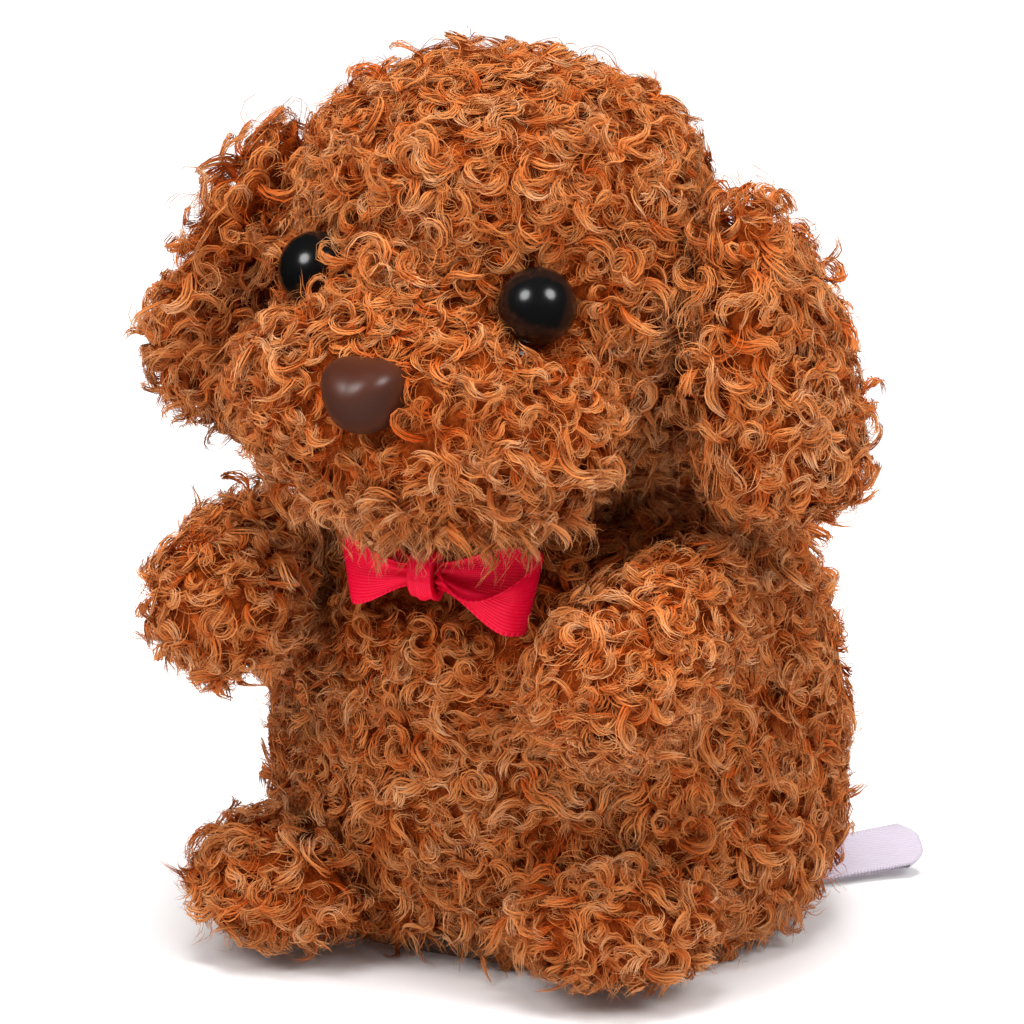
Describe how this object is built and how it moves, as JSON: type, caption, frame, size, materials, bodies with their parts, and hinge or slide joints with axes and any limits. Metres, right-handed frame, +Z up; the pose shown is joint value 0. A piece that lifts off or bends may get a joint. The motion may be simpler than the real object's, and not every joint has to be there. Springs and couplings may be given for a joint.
{
  "type": "interactive plush pet",
  "caption": "Curly brown plush poodle toy with bow tie, motor-nodded head, floppy ears and arms, and a battery base.",
  "frame": {"origin": "on the ground, under the middle of the toy's overall width and depth", "axes": "+Z up, the toy faces -Y, its own left side is +X"},
  "size_m": [0.1338, 0.1353, 0.1589],
  "materials": {
    "plush_fur": "long curly pile in warm brown, darker at the roots and lighter at the tips",
    "stuffing": "loose white polyester fibre",
    "bow_satin": "red satin ribbon with fine slanting ribs and a soft sheen",
    "label_satin": "thin white satin tape, blank",
    "eye_plastic": "polished black",
    "nose_plastic": "brown, half gloss",
    "white_plastic": "natural white moulding",
    "casing_plastic": "dark grey-brown, fine spark texture",
    "steel": "plated steel",
    "cell_wrap": "plain blue shrink sleeve",
    "black_plastic": "black moulding",
    "speaker_paper": "pressed black paper",
    "brass": "turned brass",
    "board_green": "green solder mask",
    "gear_plastic": "natural acetal",
    "belt_rubber": "black rubber and lead insulation"
  },
  "bodies": {
    "toy_body": {"body_plush": "plush_fur", "foot_left": "plush_fur", "foot_right": "plush_fur", "tail": "plush_fur", "bow_ribbon": "bow_satin", "bow_knot": "bow_satin", "care_label": "label_satin", "chassis": "white_plastic", "base_tray": "casing_plastic", "housing_front": "casing_plastic", "housing_rear": "casing_plastic", "contact_spring_1": "steel", "contact_spring_2": "steel", "contact_spring_3": "steel", "contact_plate_left": "steel", "contact_plate_right": "steel", "housing_screw_1": "steel", "housing_screw_2": "steel", "housing_screw_3": "steel", "housing_screw_4": "steel", "speaker_frame": "steel", "speaker_magnet": "steel", "motor": "steel", "crank_axle": "steel", "idler_axle": "steel", "pulley_axle": "steel", "neck_pin": "steel", "battery_1": "cell_wrap", "battery_2": "cell_wrap", "battery_3": "cell_wrap", "power_switch_body": "black_plastic", "sound_chip": "black_plastic", "capacitor": "black_plastic", "speaker_cone": "speaker_paper", "microphone": "brass", "circuit_board": "board_green", "drive_belt": "belt_rubber", "motor_lead": "belt_rubber", "speaker_lead": "belt_rubber"},
    "head": {"head_plush": "plush_fur", "head_stuffing": "stuffing", "head_frame": "white_plastic", "eye_left": "eye_plastic", "eye_right": "eye_plastic", "eye_washer_left": "white_plastic", "eye_washer_right": "white_plastic", "nose": "nose_plastic", "nose_washer": "white_plastic"},
    "ear_l": {"ear_left": "plush_fur"},
    "ear_r": {"ear_right": "plush_fur"},
    "arm_l": {"arm_left": "plush_fur"},
    "arm_r": {"arm_right": "plush_fur"},
    "door": {"battery_door": "casing_plastic", "door_screw": "steel"},
    "switch_knob": {"power_switch_knob": "black_plastic"},
    "crank": {"crank_gear": "gear_plastic"},
    "idler": {"idler_gear": "gear_plastic"},
    "pulley": {"pulley_gear": "gear_plastic"},
    "motor_rotor": {"motor_shaft": "steel", "motor_pulley": "brass"}
  },
  "joints": [
    {"name": "head_nod", "type": "hinge", "parent": "toy_body", "child": "head", "pos_m": [0, 0.0104, 0.0825], "axis": [-1, 0, 0], "range_deg": [-3, 9]},
    {"name": "ear_left_flop", "type": "hinge", "parent": "head", "child": "ear_l", "pos_m": [0.04312, -0.0106, 0.1393], "axis": [0, -1, 0], "range_deg": [0, 60]},
    {"name": "ear_right_flop", "type": "hinge", "parent": "head", "child": "ear_r", "pos_m": [-0.03877, -0.0106, 0.14359], "axis": [0, 1, 0], "range_deg": [0, 60]},
    {"name": "arm_left_swing", "type": "hinge", "parent": "toy_body", "child": "arm_l", "pos_m": [0.0415, -0.0226, 0.069], "axis": [-1, 0, 0], "range_deg": [-12, 15], "stiffness_Nm_per_rad": 0.15},
    {"name": "arm_right_swing", "type": "hinge", "parent": "toy_body", "child": "arm_r", "pos_m": [-0.0415, -0.0226, 0.069], "axis": [-1, 0, 0], "range_deg": [-12, 15], "stiffness_Nm_per_rad": 0.15},
    {"name": "battery_door_open", "type": "hinge", "parent": "toy_body", "child": "door", "pos_m": [0, -0.0124, 0.0004], "axis": [-1, 0, 0], "range_deg": [0, 80]},
    {"name": "power_switch_slide", "type": "slide", "parent": "toy_body", "child": "switch_knob", "axis": [1, 0, 0], "range_m": [0, 0.003]},
    {"name": "crank_turn", "type": "hinge", "parent": "toy_body", "child": "crank", "pos_m": [0, 0.0104, 0.0525], "axis": [-1, 0, 0], "range_deg": [-22.5, 67.5]},
    {"name": "idler_turn", "type": "hinge", "parent": "toy_body", "child": "idler", "pos_m": [0, 0.0217, 0.04458], "axis": [-1, 0, 0], "range_deg": [-243, 81]},
    {"name": "pulley_turn", "type": "hinge", "parent": "toy_body", "child": "pulley", "pos_m": [0, 0.02315, 0.05831], "axis": [-1, 0, 0], "range_deg": [-291.6, 874.8]},
    {"name": "motor_turn", "type": "hinge", "parent": "toy_body", "child": "motor_rotor", "pos_m": [0, 0.0054, 0.0358], "axis": [-1, 0, 0], "range_deg": [-1020.6, 3061.8]}
  ],
  "couplings": [
    {"joint": "crank_turn", "follows": "head_nod", "ratio": 7.5},
    {"joint": "idler_turn", "follows": "head_nod", "ratio": -27},
    {"joint": "pulley_turn", "follows": "head_nod", "ratio": 97.2},
    {"joint": "motor_turn", "follows": "head_nod", "ratio": 340.2}
  ]
}
